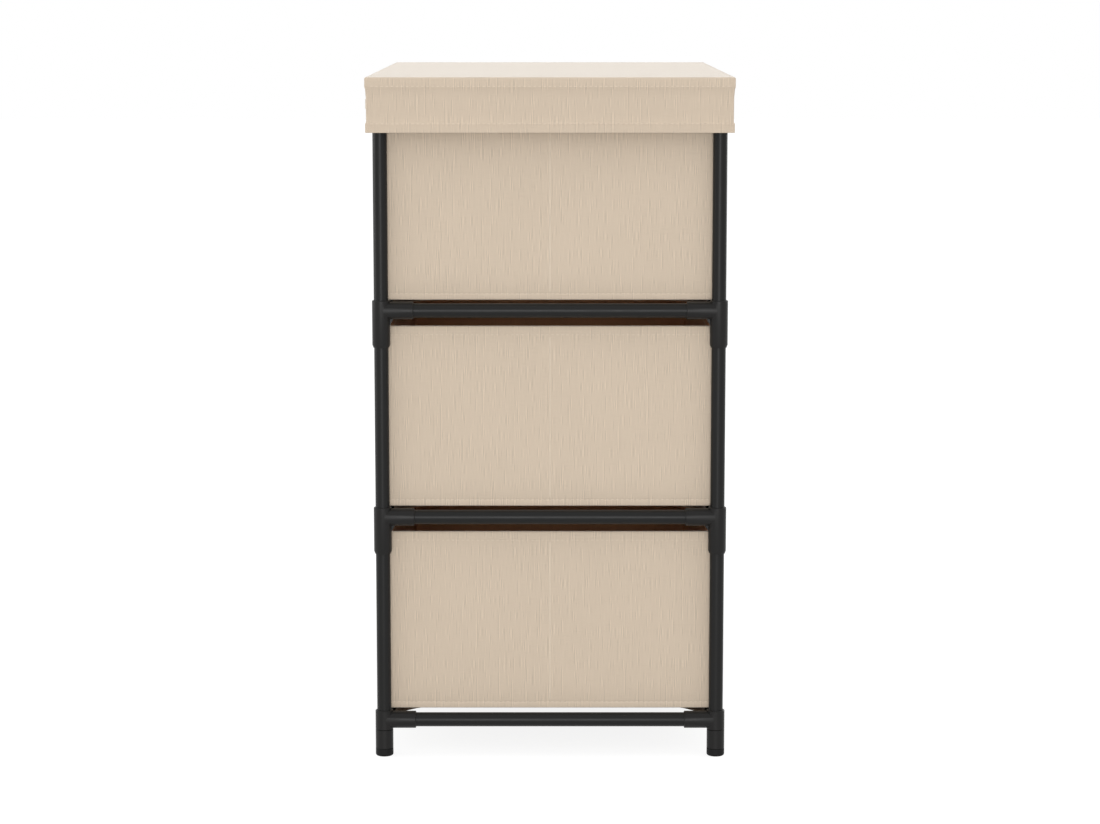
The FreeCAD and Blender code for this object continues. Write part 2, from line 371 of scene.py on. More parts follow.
# %% [markdown]
# ### Cloth, webbing and thread
# The drawers and the cover are one linen, but the cover gets more light, so it takes a darker
# copy of the colour: painted shade that evens the two out. The lining is a warm tan, the slings
# are dark brown, and the thread of the seams is a little paler than the cloth it holds.

# %% Cloth finishes
CLOTH_ROUGHNESS = 0.8
CLOTH_RELIEF = 0.15 * MM
SEWING = {"thread": 0.3 * MM, "slub": 0.05}


def cloth_finish(name, colour, thread=0.8 * MM, slub=0.085, sheen=0.15, bump=0.5, weave=0.02):
    """A woven finish: thread is the pitch of its threads, slub and weave their strengths."""
    material, tree, shader = shader_of(name, CLOTH_ROUGHNESS, sheen=sheen)
    place = tree.nodes.new("ShaderNodeUVMap")
    place.uv_map = "weave"
    woven = with_group(tree, LINEN, Thread=thread, Slub=slub, Weave=weave)
    tree.links.new(place.outputs[0], woven.inputs["Cloth"])
    # The tone carries the painted light and shade of the slubs as well as the dye's own drift
    dye(tree, shader, colour, woven.outputs["Tone"])
    add_bump(tree, shader, woven.outputs["Height"], bump, CLOTH_RELIEF)
    return material


linen = cloth_finish("beige_linen", (0.63, 0.52, 0.403), sheen=0.6)
# A darker copy of the drawers' linen: painted shade for the cover, which gets more light
cover_linen = cloth_finish("beige_linen_painted_darker", (0.608, 0.50, 0.387), sheen=0.75)
lining = cloth_finish("tan_lining", (0.63, 0.31, 0.15), thread=0.6 * MM, slub=0.03, sheen=0.0)
sling_cloth = cloth_finish("brown_sling_cloth", (0.105, 0.066, 0.038), thread=1.1 * MM,
                           slub=0.1, sheen=0.0)
webbing = cloth_finish("beige_webbing", (0.47, 0.37, 0.27), thread=1.3 * MM, slub=0.02,
                       bump=1.0, weave=0.10)
dark_thread = cloth_finish("brown_sewing_thread", (0.16, 0.105, 0.065), **SEWING)
seam_thread = cloth_finish("sewing_thread", (0.74, 0.63, 0.51), **SEWING)
# Pale paint for the fold line: a painted highlight along each side's crease
fold_highlight_paint = cloth_finish("painted_fold_highlight", (0.82, 0.72, 0.59), **SEWING)
print("cloth and thread finishes:", len(bpy.data.materials))

# %% [markdown]
# ### Powder coat, plastic, rubber and board
# The blacks are dark enough that most of what is seen of them is the soft reflection of the
# studio. The foot's pad is duller than the rest, and fibreboard is dull and uneven.

# %% Grained finishes
SKIN_RELIEF = 0.05 * MM


def grain_finish(name, colour, roughness, specular, grain, depth, bump):
    """A finish with a fine skin: grain is its size, depth how uneven its shade is."""
    material, tree, shader = shader_of(name, roughness, specular)
    skin = with_group(tree, GRAIN, Grain=grain, Depth=depth)
    uneven = math_node(tree, "ADD", skin.outputs["Shade"], roughness)
    tree.links.new(uneven, shader.inputs["Roughness"])
    dye(tree, shader, colour, math_node(tree, "ADD", skin.outputs["Shade"], 1.0))
    add_bump(tree, shader, skin.outputs["Height"], bump, SKIN_RELIEF)
    return material


powder_coat = grain_finish("black_powder_coat", (0.0125, 0.0125, 0.0122), roughness=0.37,
                           specular=0.15, grain=0.5 * MM, depth=0.15, bump=0.2)
plastic = grain_finish("black_moulded_plastic", (0.0130, 0.0125, 0.0122), roughness=0.38,
                       specular=0.16, grain=0.25 * MM, depth=0.15, bump=0.3)
foot_rubber = grain_finish("black_foot_pad", (0.008, 0.008, 0.008), roughness=0.6,
                           specular=0.15, grain=0.4 * MM, depth=0.2, bump=0.3)
fibreboard = grain_finish("fibreboard", (0.36, 0.26, 0.17), roughness=0.8,
                          specular=0.3, grain=0.8 * MM, depth=0.5, bump=0.6)
print("finishes in all:", len(bpy.data.materials))

# %% [markdown]
# ## The tubes
# Posts and rails are plain round tube, so the model's own solids are already right. They keep their
# shape and take the powder coat. The boards sealed inside the drawers and the cover keep theirs
# too, and take fibreboard.

# %% Finish the pieces that keep their own solids
tubes = [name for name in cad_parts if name.startswith(("post_", "rail_"))]
boards = [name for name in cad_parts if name.endswith(("_board", "_boards"))]
for names, finish in ((tubes, powder_coat), (boards, fibreboard)):
    for name in names:
        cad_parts[name].material_slots[0].material = finish
print("finished", len(tubes), "tubes and", len(boards), "nodes of boards")

# %% [markdown]
# ## The moulded connectors
# A connector is a sleeve on the post with two arms for the rails. Each limb is a turned shape, so
# a profile is spun round the limb's axis.

# %% Turned limbs
post_low, post_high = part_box("post_back_right")
POST = (post_low + post_high) / 2
TUBE_R = (post_high.x - post_low.x) / 2
SLEEVE_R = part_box("foot_caps")[1].x - POST.x
ARM_R = SLEEVE_R - 0.2 * MM
FIT = 0.06 * MM
CHAMFER = 0.5 * MM
TURN_STEPS = 64


def turned(profile, axis):
    """A closed solid from (radius, height) points spun round the axis through the origin."""
    bm = bmesh.new()
    verts = [bm.verts.new((radius, 0, height)) for radius, height in profile]
    edges = [bm.edges.new(pair) for pair in zip(verts, verts[1:])]
    bmesh.ops.spin(bm, geom=verts + edges, cent=(0, 0, 0), axis=(0, 0, 1), angle=2 * math.pi,
                   steps=TURN_STEPS, use_merge=True)
    turn = Z_AXIS.rotation_difference(axis).to_matrix()
    bmesh.ops.rotate(bm, verts=bm.verts, cent=(0, 0, 0), matrix=turn)
    close_up(bm)
    return bm


print("radii in mm:", [round(radius / MM, 2) for radius in (TUBE_R, SLEEVE_R, ARM_R)])

# %% [markdown]
# ### Joining and boring
# The limbs are joined into one body, and the bores for post and rails are taken out of it.
# Booleans do both on working solids, which go once they are used.

# %% Helpers: join or cut solids
def solid(name, bm):
    """A working object for a cut or a join, not a piece of the dresser."""
    return placed(name, mesh_of(name, bm))


def joined(base, others, operation):
    """The base with each other solid joined to it or cut from it."""
    for other in others:
        step = base.modifiers.new(other.name, "BOOLEAN")
        step.operation = operation
        step.solver = "EXACT"
        step.object = other
    graph = bpy.context.evaluated_depsgraph_get()
    mesh = bpy.data.meshes.new_from_object(base.evaluated_get(graph))
    for used in [base, *others]:
        bpy.data.objects.remove(used)
    return mesh


# %% [markdown]
# ### The web below an arm
# A small web stiffens the corner below each arm of the long sleeves. It is a triangle extruded to
# the web's thickness, with two of its corners buried in the sleeve and the arm.

# %% The web below an arm
WEB_REACH = 3.2 * MM
WEB_DROP = 6 * MM
WEB_THICK = 2.4 * MM
WEB_BURIED = 0.8 * MM


def only(kind, parts):
    """The points or the edges among the parts that an operator gives back."""
    return [part for part in parts if isinstance(part, kind)]


def corner_web(way):
    """The web in the corner below an arm, where it leaves the sleeve."""
    root, under = SLEEVE_R - WEB_BURIED, WEB_BURIED - ARM_R
    corners = [(root, under), (SLEEVE_R + WEB_REACH, under), (root, -ARM_R - WEB_DROP)]
    across = way.cross(Z_AXIS) * WEB_THICK
    bm = bmesh.new()
    verts = [bm.verts.new(way * out + Z_AXIS * height - across / 2) for out, height in corners]
    grown = bmesh.ops.extrude_face_region(bm, geom=[bm.faces.new(verts)])["geom"]
    bmesh.ops.translate(bm, verts=only(BMVert, grown), vec=across)
    close_up(bm)
    return bm


print("web", WEB_REACH / MM, "mm out and", WEB_DROP / MM, "mm down")

# %% [markdown]
# ### One connector
# The long sleeves taper at their lower end, every open end has a small chamfer that catches the
# light, and the bores have a little play round the tubes. The topmost connector is capped, so its
# post bore stops short of the top.

# %% One connector of each kind
ARM_REACH = 27 * MM
BORE_STEP = 2 * MM
BORE_PAST = 1 * MM
CAP_THICK = 3 * MM


def connector_mesh(top, drop, lower_taper, capped):
    """A connector whose rail axes meet at the origin, with arms along +X and +Y."""
    inset, rise = lower_taper
    sleeve = turned([(0, -drop), (SLEEVE_R - inset, -drop), (SLEEVE_R, -drop + rise),
                     (SLEEVE_R, top - CHAMFER), (SLEEVE_R - CHAMFER, top), (0, top)], Z_AXIS)
    arms, bores = [], []
    bore_r, bore_end = TUBE_R + FIT, ARM_REACH + BORE_PAST
    for way in (X_AXIS, Y_AXIS):
        arm = turned([(0, 0), (ARM_R, 0), (ARM_R, ARM_REACH - CHAMFER),
                      (ARM_R - CHAMFER, ARM_REACH), (0, ARM_REACH)], way)
        arms.append(solid("arm", arm))
        if drop > ARM_R + WEB_DROP:
            arms.append(solid("web", corner_web(way)))
        bore = turned([(0, bore_r + BORE_STEP), (bore_r, bore_r + BORE_STEP),
                       (bore_r, bore_end), (0, bore_end)], way)
        bores.append(solid("socket", bore))
    body = joined(solid("sleeve", sleeve), arms, "UNION")
    floor, roof = -drop - BORE_PAST, top - CAP_THICK if capped else top + BORE_PAST
    post_bore = turned([(0, floor), (bore_r, floor), (bore_r, roof), (0, roof)], Z_AXIS)
    bores.append(solid("bore", post_bore))
    return joined(placed("body", body), bores, "DIFFERENCE")


def rail_axis(level):
    """The height of a level's rails, and how far back the rear rail's axis lies."""
    low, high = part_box(f"rail_front_{level}")
    return (low.z + high.z) / 2, -(low.y + high.y) / 2


print("level heights in mm:", [round(rail_axis(level)[0] / MM, 1) for level in LEVELS])

# %% [markdown]
# ### Connectors at the four posts
# One mesh serves all four corners, each a quarter turn on. Slivers left by the cuts are merged
# away, so that the surface is clean.

# %% Connectors on every level
CORNERS = ((-1, -1), (1, -1), (1, 1), (-1, 1))
LONG_SLEEVES = (2, 3)
LONG_TAPER = (0.9 * MM, 2.4 * MM)
SLIVER = 0.01 * MM


def at_four_posts(mesh, height):
    """The same mesh at the four posts, turned so that its arms lie along the rails."""
    bm = bmesh.new()
    for turn, (side_x, side_y) in enumerate(CORNERS):
        known = set(bm.verts)
        bm.from_mesh(mesh)
        fresh = [vert for vert in bm.verts if vert not in known]
        quarters = Matrix.Rotation(turn * math.pi / 2, 3, "Z")
        bmesh.ops.rotate(bm, verts=fresh, cent=(0, 0, 0), matrix=quarters)
        bmesh.ops.translate(bm, verts=fresh, vec=(side_x * POST.x, side_y * POST.y, height))
    bmesh.ops.remove_doubles(bm, verts=bm.verts, dist=SLIVER)
    bmesh.ops.dissolve_degenerate(bm, dist=SLIVER, edges=bm.edges)
    return bm


for level in LEVELS:
    low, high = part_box(f"connectors_level_{level}")
    rail_z = rail_axis(level)[0]
    taper = LONG_TAPER if level in LONG_SLEEVES else (CHAMFER, CHAMFER)
    mesh = connector_mesh(high.z - rail_z, rail_z - low.z, taper, capped=level == LEVELS[-1])
    piece = make_piece(f"moulded_connectors_{level}", at_four_posts(mesh, rail_z), "frame",
                       "moulded_black_plastic", plastic, sharp_from=28)
    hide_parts(f"connectors_level_{level}")
    print(piece.name, len(piece.data.polygons), "faces")

# %% [markdown]
# ## The feet
# Each leg ends in a turned cap with a softly rounded edge and a darker pad where it meets the
# floor. A profile spun round the leg gives the groove between them.

# %% Foot caps
PAD_HEIGHT = 6.5 * MM
PAD_EDGE = 1.6 * MM
GROOVE = 0.35 * MM
CUP_FLOOR = 9 * MM
CUP_LIP = 0.2 * MM
BELOW_SLEEVE = 0.05 * MM


def foot_profile(top):
    """A foot's outline, up its outside and down into the tube's seat."""
    turns = [step * math.pi / 12 for step in range(7)]
    rounding = [(SLEEVE_R - PAD_EDGE + PAD_EDGE * math.sin(turn),
                 PAD_EDGE - PAD_EDGE * math.cos(turn)) for turn in turns]
    pad = [(SLEEVE_R, PAD_HEIGHT - GROOVE), (SLEEVE_R - GROOVE, PAD_HEIGHT)]
    cup = [(SLEEVE_R, PAD_HEIGHT + GROOVE), (SLEEVE_R, top - CUP_LIP), (SLEEVE_R - CUP_LIP, top)]
    seat = [(TUBE_R + FIT, top), (TUBE_R + FIT, CUP_FLOOR), (0, CUP_FLOOR)]
    return [(0, 0)] + rounding + pad + cup + seat


foot = turned(foot_profile(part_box("foot_caps")[1].z - BELOW_SLEEVE), Z_AXIS)
for face in foot.faces:
    face.material_index = int(face.calc_center_median().z < PAD_HEIGHT)
feet = make_piece("turned_feet", at_four_posts(mesh_of("foot", foot), 0), "frame",
                  "moulded_black_plastic", plastic, foot_rubber, sharp_from=35)
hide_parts("foot_caps")
print("feet:", len(feet.data.polygons), "faces")

# %% [markdown]
# ## Stitches
# A seam reads as a seam because of its thread. Each stitch is a slim bead, half sunk in the cloth:
# an icosphere of twenty faces drawn out along the seam, repeated at the pitch of a sewing machine.

# %% Rows of stitches
STITCH_PITCH = 4.2 * MM
STITCH_LENGTH = 3.1 * MM
THREAD_R = 0.3 * MM
FOUR_SIDES = ((0, -1), (0, 1), (1, -1), (1, 1))


def stitch_row(bm, start, end, outward, length=STITCH_LENGTH):
    """Beads of thread from start to end, on the side of the cloth that outward names."""
    run = end - start
    count = max(1, round(run.length / STITCH_PITCH))
    along = run.normalized()
    facing = Matrix((along, outward.cross(along), outward)).transposed().to_4x4()
    bead = facing @ Matrix.Diagonal((length / 2, THREAD_R, THREAD_R, 1))
    for step in range(count):
        place = Matrix.Translation(start + run * ((step + 0.5) / count))
        bmesh.ops.create_icosphere(bm, subdivisions=1, radius=1, matrix=place @ bead)


def stitched_round(bm, low, high, height, sink, margin, sides=FOUR_SIDES):
    """Rows of stitches on the given sides of a box of cloth, sunk a little into it."""
    for axis, side in sides:
        face = high if side > 0 else low
        start, end = Vector((0, 0, height)), Vector((0, 0, height))
        start[axis] = end[axis] = face[axis] - side * sink
        start[1 - axis], end[1 - axis] = low[1 - axis] + margin, high[1 - axis] - margin
        stitch_row(bm, start, end, AXES[axis] * side)


print("stitches to a metre of seam:", round(1 / STITCH_PITCH))

# %% [markdown]
# ## The drawers
# A drawer is a sewn cloth box over stiff boards. It starts as one cube: its top is inset by the
# wall's thickness and pushed down to make the inside, and every edge is rounded like a fold.

# %% An open box of cloth
DRAWER_WALL = 3.6 * MM
EDGE_ROUND = 1.3 * MM


def block(low, high):
    """A cube drawn out to fill the box from low to high."""
    bm = bmesh.new()
    place = Matrix.Translation((low + high) / 2) @ Matrix.Diagonal((*(high - low), 1))
    bmesh.ops.create_cube(bm, size=1, matrix=place)
    return bm


def round_edges(bm, edges, radius):
    """Rounds edges with three steps, as folded cloth or sanded board is."""
    bmesh.ops.bevel(bm, geom=edges, offset=radius, segments=3, profile=0.5, affect="EDGES",
                    material=-1)


def open_box(low, high, floor):
    """A box open at the top, with walls of sewn cloth and its inner floor at a height."""
    bm = block(low, high)
    mouth = [face for face in bm.faces if face.normal.z > 0.5]
    bmesh.ops.inset_region(bm, faces=mouth, thickness=DRAWER_WALL, use_even_offset=True)
    pushed = bmesh.ops.extrude_face_region(bm, geom=mouth)["geom"]
    bmesh.ops.delete(bm, geom=[face for face in mouth if face.is_valid], context="FACES_ONLY")
    bmesh.ops.translate(bm, verts=only(BMVert, pushed), vec=(0, 0, floor - high.z))
    close_up(bm)
    round_edges(bm, bm.edges[:], EDGE_ROUND)
    return bm


print("drawer walls", DRAWER_WALL / MM, "mm thick, edges rounded by", EDGE_ROUND / MM, "mm")

# %% [markdown]
# ### Seams and ripples
# The cloth is cut into a grid before it is shaped, closer where a seam bends it. The seams are
# dented in, with a fold down the middle of each side, and a faint ripple takes the machined look
# off the flat walls.

# %% Cuts and dents
RIM_SEAM = 7.5 * MM
FOOT_SEAM = 5.5 * MM
SEAM_DENT, SEAM_WIDTH = 0.35 * MM, 0.7 * MM
FOLD_DENT, FOLD_WIDTH = 0.15 * MM, 0.9 * MM
RIM_THICKER = 0.12 * MM
RIPPLE, RIPPLE_FADE = 0.25 * MM, 20 * MM
RIPPLES_ACROSS, RIPPLES_UP = 14, 9


def cut_across(bm, axis, places):
    """Cuts an edge loop through the whole piece at each place along an axis."""
    for place in places:
        everything = bm.verts[:] + bm.edges[:] + bm.faces[:]
        bmesh.ops.bisect_plane(bm, geom=everything, dist=SAME_PLACE, plane_no=AXES[axis],
                               plane_co=AXES[axis] * place)


def spaced(start, end, pitch):
    """Even places from start to end, about a pitch apart, without the two ends."""
    count = max(2, round((end - start) / pitch))
    return [start + (end - start) * step / count for step in range(1, count)]


def bell(distance, width):
    """1 at no distance, falling smoothly to 0 past the width."""
    return math.exp(-((distance / width) ** 2))


def dent_at(point, low, high, on_side):
    """How far the outer cloth lies inside the flat box at a point of a wall."""
    below_rim, above_foot = high.z - point.z, point.z - low.z
    dent = SEAM_DENT * bell(below_rim - RIM_SEAM, SEAM_WIDTH)
    dent += SEAM_DENT * bell(above_foot - FOOT_SEAM, SEAM_WIDTH)
    if below_rim > RIM_SEAM:
        dent += RIM_THICKER
        if on_side:
            dent += FOLD_DENT * bell(point.y, FOLD_WIDTH)
    from_edge = min(1, max(0, min(above_foot, below_rim) / RIPPLE_FADE))
    ripple = noise.noise(Vector((point.x * RIPPLES_ACROSS, point.y * RIPPLES_ACROSS,
                                 point.z * RIPPLES_UP)))
    return dent + RIPPLE * from_edge * (0.5 + ripple)


print("seams are dented", SEAM_DENT / MM, "mm, folds", FOLD_DENT / MM, "mm")

# %% [markdown]
# ### The drawer's cloth
# Every point of the outside moves in by its dent, and the faces of the inside take the lining.

# %% The drawer's cloth
GRID = 14 * MM
GRID_FROM_FOOT, GRID_FROM_RIM = 10 * MM, 12 * MM
NEAR_SEAM = [n * 0.7 * MM for n in (-2, -1, 0, 1, 2)]
ON_FACE = 0.01 * MM
LINING_OVERLAP = 0.1 * MM


def drawer_cloth(low, high, floor):
    """The drawer's box with its dents, and with the lining on its inside."""
    bm = open_box(low, high, floor)
    heights = spaced(low.z + GRID_FROM_FOOT, high.z - GRID_FROM_RIM, GRID)
    heights += [seam + n for seam in (high.z - RIM_SEAM, low.z + FOOT_SEAM) for n in NEAR_SEAM]
    cut_across(bm, 2, heights)
    cut_across(bm, 1, spaced(low.y, high.y, GRID) + NEAR_SEAM)
    cut_across(bm, 0, spaced(low.x, high.x, GRID))
    for vert in bm.verts:
        for axis in (0, 1):
            if abs(vert.co[axis]) > high[axis] - ON_FACE:
                side = 1 if vert.co[axis] > 0 else -1
                vert.co[axis] -= side * dent_at(vert.co, low, high, axis == 0)
    inner_x, inner_y = (high[axis] - DRAWER_WALL + LINING_OVERLAP for axis in (0, 1))
    for face in bm.faces:
        x, y, z = face.calc_center_median()
        inside = abs(x) < inner_x and abs(y) < inner_y and z > floor - LINING_OVERLAP
        face.material_index = int(inside)
    return bm


print("cloth grid:", GRID / MM, "mm, at seams:", [round(n / MM, 1) for n in NEAR_SEAM])

# %% [markdown]
# ### Sewing the drawers
# Stitches run below each rim, inside and out, and above the foot. Down the crease in the middle of
# each side, over the gap between two half boards, a fine pale line is a painted highlight.

# %% Sewn drawers
RIM_SINK, FOOT_SINK, INSIDE_SINK, FOLD_SINK = 0.42 * MM, 0.5 * MM, -0.1 * MM, 0.36 * MM
SEAM_MARGIN = 3 * MM
FOLD_FROM_FOOT, FOLD_FROM_RIM = 8 * MM, 10 * MM
FOLD_BEAD = 1.9 * STITCH_PITCH


def drawer_seams(low, high):
    """Rows of stitches below the rim, outside and in, and above the foot."""
    rim, foot_row = high.z - RIM_SEAM, low.z + FOOT_SEAM
    wall = Vector((DRAWER_WALL, DRAWER_WALL, 0))
    bm = bmesh.new()
    stitched_round(bm, low, high, rim, RIM_SINK, SEAM_MARGIN)
    stitched_round(bm, low, high, foot_row, FOOT_SINK, SEAM_MARGIN)
    stitched_round(bm, low + wall, high - wall, rim, INSIDE_SINK, SEAM_MARGIN)
    return bm


def painted_fold_lines(low, high):
    """A painted highlight down the crease in the middle of each side, made of pale beads that
    overlap.
    """
    bm = bmesh.new()
    for side in (-1, 1):
        ends = [Vector((side * (high.x - FOLD_SINK), 0, z))
                for z in (low.z + FOLD_FROM_FOOT, high.z - FOLD_FROM_RIM)]
        stitch_row(bm, *ends, X_AXIS * side, length=FOLD_BEAD)
    return bm


for number in DRAWERS:
    body = f"drawer_{number}"
    low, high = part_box(f"drawer_{number}_shell")
    cloth = drawer_cloth(low, high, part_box(f"drawer_{number}_base_board")[0].z)
    shell = make_piece(f"drawer_cloth_{number}", cloth, body, "drawer_linen", linen, lining)
    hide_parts(f"drawer_{number}_shell")
    make_piece(f"drawer_stitches_{number}", drawer_seams(low, high), body, "drawer_linen",
               seam_thread)
    # A line of pale beads down each crease: a painted highlight
    make_piece(f"painted_fold_line_{number}", painted_fold_lines(low, high), body, "drawer_linen",
               fold_highlight_paint)
    print(shell.name, len(shell.data.polygons), "faces")

# %% [markdown]
# ## The base boards
# A loose board wrapped in lining lies in each drawer and holds it square. It is a slab with soft
# edges, rounded by a bevel on a cube.

# %% Base boards
BOARD_LIFT = Vector((0, 0, 0.2 * MM))
BOARD_ROUND = 1.1 * MM
for number in DRAWERS:
    low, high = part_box(f"drawer_{number}_base_board")
    bm = block(low + BOARD_LIFT, high)
    round_edges(bm, bm.edges[:], BOARD_ROUND)
    board = make_piece(f"lined_board_{number}", bm, f"drawer_{number}", "stiffener_board", lining)
    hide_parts(f"drawer_{number}_base_board")
print("lined boards:", len(DRAWERS))

# %% [markdown]
# ## The strap pulls
# A strip of webbing is sewn flat at both ends and bows out between them for the fingers. A grid
# takes the bow from a smooth formula, and a faint ripple makes it cloth.

# %% The bowed strap
PULL_TAB = 18 * MM
PULL_RISE = 18 * MM
PULL_FRONT = 1.6 * MM
PULL_MIDDLE = 0.85 * MM
PULL_RIPPLE, PULL_RIPPLES = 0.15 * MM, 60


def bow_at(x, half, bow):
    """How far the strap stands off the cloth, from 0 at the tabs to the full bow."""
    along = (half - PULL_TAB - abs(x)) / PULL_RISE
    return bow * (0.5 - 0.5 * math.cos(math.pi * min(1, max(0, along))))


def strap(low, high):
    """The middle layer of the webbing, bowed out in front of the drawer."""
    half, half_height = (high.x - low.x) / 2, (high.z - low.z) / 2
    place = Matrix.Translation((0, 0, (low.z + high.z) / 2)) @ Matrix.Rotation(math.pi / 2, 4, "X")
    bm = bmesh.new()
    bmesh.ops.create_grid(bm, x_segments=72, y_segments=10, size=1,
                          matrix=place @ Matrix.Diagonal((half, half_height, 1, 1)))
    for vert in bm.verts:
        ripple = PULL_RIPPLE * noise.noise(vert.co * PULL_RIPPLES)
        out = bow_at(vert.co.x, half, high.y - low.y - PULL_FRONT)
        vert.co.y = high.y - PULL_MIDDLE - out + ripple
    bmesh.ops.recalc_face_normals(bm, faces=bm.faces)
    return bm


print("a pull's tabs are", PULL_TAB / MM, "mm long")

# %% [markdown]
# ### Sewing on the pulls
# Each end of a pull is held by a box of stitches with a cross in it, as webbing under load is.
# Solidify gives the strap the webbing's thickness, and a bevel its soft edge.

# %% Webbing pulls
WEBBING = 1.4 * MM
WEBBING_EDGE = 0.4 * MM
BOX_LINES = ((0, 1), (1, 2), (2, 3), (3, 0), (0, 2), (1, 3))
FROM_BOW, FROM_END, FROM_SIDE = 3 * MM, 2.5 * MM, 3 * MM


def thicken(piece, thickness, offset=0):
    """Gives a sheet the thickness of its cloth, to both sides of it or to one."""
    layer = piece.modifiers.new("cloth", "SOLIDIFY")
    layer.thickness = thickness
    layer.offset = offset


def box_and_cross(bm, low, high, side):
    """Stitches through one end of a pull, round it and from corner to corner."""
    half = (high.x - low.x) / 2
    near, far = side * (half - PULL_TAB + FROM_BOW), side * (half - FROM_END)
    low_z, high_z = low.z + FROM_SIDE, high.z - FROM_SIDE
    corners = [Vector((x, high.y - PULL_FRONT, z)) for x, z in (
        (near, low_z), (far, low_z), (far, high_z), (near, high_z))]
    for first, second in BOX_LINES:
        stitch_row(bm, corners[first], corners[second], -Y_AXIS)


for number in DRAWERS:
    low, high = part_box(f"drawer_{number}_pull")
    pull = make_piece(f"strap_pull_{number}", strap(low, high), f"drawer_{number}", "webbing",
                      webbing)
    thicken(pull, WEBBING)
    edge = pull.modifiers.new("edge", "BEVEL")
    edge.width = WEBBING_EDGE
    edge.segments = 2
    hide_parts(f"drawer_{number}_pull")
    seams = bmesh.new()
    for side in (-1, 1):
        box_and_cross(seams, low, high, side)
    make_piece(f"pull_stitches_{number}", seams, f"drawer_{number}", "webbing", seam_thread)
    print(pull.name, len(pull.data.polygons), "faces")

# %% [markdown]
# ## The sling shelves
# A brown cloth spans each level from the front rail to the back rail and is sewn back on itself
# round both. One grid gives the panel with its hollowed side edges, and a few vertex moves give the
# sag and the corners that droop beside the connectors.

# %% The sling's panel
SLING_THICK = 0.8 * MM
SLING_HOLLOW = 30 * MM
SLING_DROOP = 3 * MM
DROOP_ALONG, DROOP_ACROSS = 0.12, 16 * MM
SLING_SAG = 1.32 * MM
SLING_RIPPLE = 0.25 * MM
OFF_PLASTIC = 1.2 * MM
OVER_RAIL = TUBE_R + 0.2 * MM + SLING_THICK / 2


def sling_panel(level, ear_x, ear_y, height):
    """The panel between the rails; across and along run from -1 to 1 over it."""
    bm = bmesh.new()
    bmesh.ops.create_grid(bm, x_segments=64, y_segments=44, size=1)
    for vert in bm.verts:
        across, along = vert.co.x, vert.co.y
        x = across * (ear_x - SLING_HOLLOW * (1 - along * along) * abs(across) ** 6)
        corner = bell(max(0, 1 - abs(along)), DROOP_ALONG)
        corner *= bell(max(0, ear_x - abs(x)), DROOP_ACROSS)
        sag = SLING_SAG * (1 - across * across) * (1 - along ** 4)
        ripple = SLING_RIPPLE * noise.noise(Vector((x * 25, along * 4, level)))
        z = height - SLING_DROOP * corner - sag + ripple * (1 - along ** 8)
        vert.co = Vector((x, along * ear_y, z))
    return bm


print("sling panel's middle over the rail's axis, in mm:", round(OVER_RAIL / MM, 2))

# %% [markdown]
# ### Wrapping a rail
# Between the connectors the panel's edge is extruded out over the rail, spun half round it, and
# drawn back under the panel as a hem, which two rows of stitches hold.

# %% Wraps and hems
RAIL_FREE = POST.x - ARM_REACH - OFF_PLASTIC
SLING_HEM = 14 * MM
HEM_BELOW = 2 * MM
HEM_ROWS = (2.5 * MM, 5.5 * MM)
ROW_PROUD = 0.25 * MM
WRAP_STEPS = 14
ON_EDGE = 0.01 * MM


def wrap_rail(bm, side, rail_z, rail_y, ear_y):
    """Takes the front or back edge round its rail and back under the panel."""
    edges = [edge for edge in bm.edges if all(
        abs(vert.co.y - side * ear_y) < ON_EDGE and abs(vert.co.x) < RAIL_FREE + ON_EDGE
        for vert in edge.verts)]
    grown = bmesh.ops.extrude_edge_only(bm, edges=edges)["geom"]
    verts = only(BMVert, grown)
    for vert in verts:
        vert.co.y = side * rail_y
        vert.co.z = rail_z + OVER_RAIL
    edges = [edge for edge in only(BMEdge, grown) if all(vert in verts for vert in edge.verts)]
    ring = bmesh.ops.spin(bm, geom=verts + edges, cent=(0, side * rail_y, rail_z),
                          axis=(1, 0, 0), angle=-side * math.pi, steps=WRAP_STEPS)["geom_last"]
    grown = bmesh.ops.extrude_edge_only(bm, edges=only(BMEdge, ring))["geom"]
    for vert in only(BMVert, grown):
        vert.co.y = side * (ear_y - SLING_HEM)
        vert.co.z = rail_z + OVER_RAIL - SLING_THICK - HEM_BELOW


def hem_stitches(hem_y, height):
    """Two rows of stitches through each hem, seen on top of the panel."""
    bm = bmesh.new()
    for side in (-1, 1):
        for row in HEM_ROWS:
            end = Vector((RAIL_FREE - SEAM_MARGIN, side * (hem_y + row), height + ROW_PROUD))
            stitch_row(bm, end * Vector((-1, 1, 1)), end, Z_AXIS)
    return bm


print("a sling wraps", round(2 * RAIL_FREE / MM, 1), "mm of each rail")

# %% [markdown]
# ### Slings on their rails
# The three slings differ only in height. Each is stretched between its front and back rail, and
# solidify gives it the cloth's thickness.

# %% Sling cloths
for level in DRAWERS:
    rail_z, rail_y = rail_axis(level)
    ear_x, ear_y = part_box(f"sling_shelf_{level}")[1].x, rail_y - SLEEVE_R - OFF_PLASTIC
    bm = sling_panel(level, ear_x, ear_y, rail_z + OVER_RAIL)
    cut_across(bm, 0, [-RAIL_FREE, RAIL_FREE])
    for side in (-1, 1):
        wrap_rail(bm, side, rail_z, rail_y, ear_y)
    bmesh.ops.recalc_face_normals(bm, faces=bm.faces)
    sling = make_piece(f"sling_cloth_{level}", bm, "frame", "sling_fabric", sling_cloth,
                       sharp_from=60)
    thicken(sling, SLING_THICK)
    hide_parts(f"sling_shelf_{level}")
    make_piece(f"sling_stitches_{level}", hem_stitches(ear_y - SLING_HEM, rail_z + OVER_RAIL),
               "frame", "sling_fabric", dark_thread)
    print(sling.name, len(sling.data.polygons), "faces")

